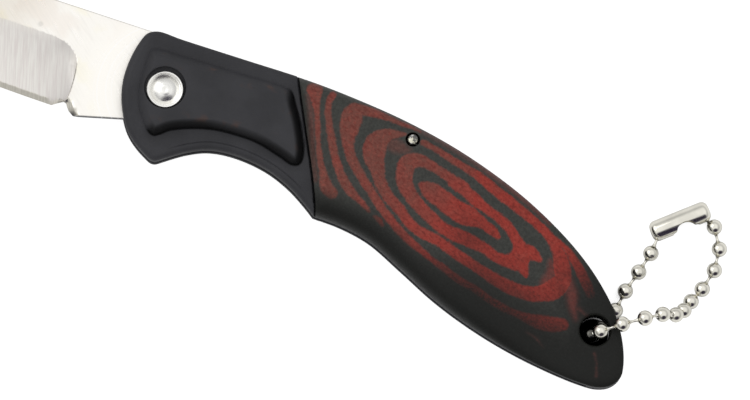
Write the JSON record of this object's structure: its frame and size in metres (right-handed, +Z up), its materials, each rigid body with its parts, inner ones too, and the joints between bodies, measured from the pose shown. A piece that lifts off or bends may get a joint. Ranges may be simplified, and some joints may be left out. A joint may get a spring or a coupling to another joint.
{
  "type": "folding pocket knife",
  "caption": "Back-lock folding pocket knife with a drop-point blade, black moulded bolsters, red and black laminated grip panels and a ball key chain, lying open on its side.",
  "frame": {"origin": "on the flat of the rear grip panel at mid-handle, where the knife rests on its side", "axes": "+X from the blade's tip to the butt along the open blade, +Y towards the knife's back, +Z up, out of the front face"},
  "size_m": [0.1585, 0.0324, 0.012],
  "materials": {
    "moulded_black": "fine-textured black moulding",
    "laminated_wood": "red and black laminated wood, contoured, satin",
    "blade_steel": "satin, hollow grind brushed across",
    "lock_steel": "plain ground steel",
    "rivet_steel": "polished, low dome inside a raised rim",
    "washer_bronze": "plain bronze",
    "chain_nickel": "nickel plate"
  },
  "bodies": {
    "handle": {"front_shell": "moulded_black", "rear_shell": "moulded_black", "front_grip_panel": "laminated_wood", "rear_grip_panel": "laminated_wood", "butt_spacer": "moulded_black", "lock_spring": "lock_steel", "pivot_rivet_stem": "rivet_steel", "pivot_rivet_sleeve": "rivet_steel", "front_washer": "washer_bronze", "rear_washer": "washer_bronze", "rocker_pin": "rivet_steel", "hidden_rivet_1": "lock_steel", "hidden_rivet_2": "lock_steel"},
    "blade": {"blade": "blade_steel"},
    "lock_bar": {"lock_bar": "lock_steel"},
    "chain": {"chain_bead_01": "chain_nickel", "chain_bead_02": "chain_nickel", "chain_bead_03": "chain_nickel", "chain_bead_04": "chain_nickel", "chain_bead_05": "chain_nickel", "chain_bead_06": "chain_nickel", "chain_bead_07": "chain_nickel", "chain_bead_08": "chain_nickel", "chain_bead_09": "chain_nickel", "chain_bead_10": "chain_nickel", "chain_bead_11": "chain_nickel", "chain_bead_12": "chain_nickel", "chain_bead_13": "chain_nickel", "chain_bead_14": "chain_nickel", "chain_bead_15": "chain_nickel", "chain_bead_16": "chain_nickel", "chain_bead_17": "chain_nickel", "chain_bead_18": "chain_nickel", "chain_bead_19": "chain_nickel", "chain_bead_20": "chain_nickel", "chain_link_01": "chain_nickel", "chain_link_02": "chain_nickel", "chain_link_03": "chain_nickel", "chain_link_04": "chain_nickel", "chain_link_05": "chain_nickel", "chain_link_06": "chain_nickel", "chain_link_07": "chain_nickel", "chain_link_08": "chain_nickel", "chain_link_09": "chain_nickel", "chain_link_10": "chain_nickel", "chain_link_11": "chain_nickel", "chain_link_12": "chain_nickel", "chain_link_13": "chain_nickel", "chain_link_14": "chain_nickel", "chain_link_15": "chain_nickel", "chain_link_16": "chain_nickel", "chain_link_17": "chain_nickel", "chain_link_18": "chain_nickel", "chain_link_19": "chain_nickel", "chain_connector": "chain_nickel"}
  },
  "joints": [
    {"name": "blade_pivot", "type": "hinge", "parent": "handle", "child": "blade", "pos_m": [-0.038, 0.004, 0.006], "axis": [0, 0, 1], "range_deg": [0, 165.1]},
    {"name": "lock_rocker", "type": "hinge", "parent": "handle", "child": "lock_bar", "pos_m": [-0.0003, 0.00815, 0.006], "axis": [0, 0, 1], "range_deg": [0, 1.4], "stiffness_Nm_per_rad": 0.2, "springref_deg": 2.86},
    {"name": "chain_swing", "type": "hinge", "parent": "handle", "child": "chain", "pos_m": [0.03445, -0.01075, 0.006], "axis": [0, 0, 1], "range_deg": [-50, 15]}
  ]
}
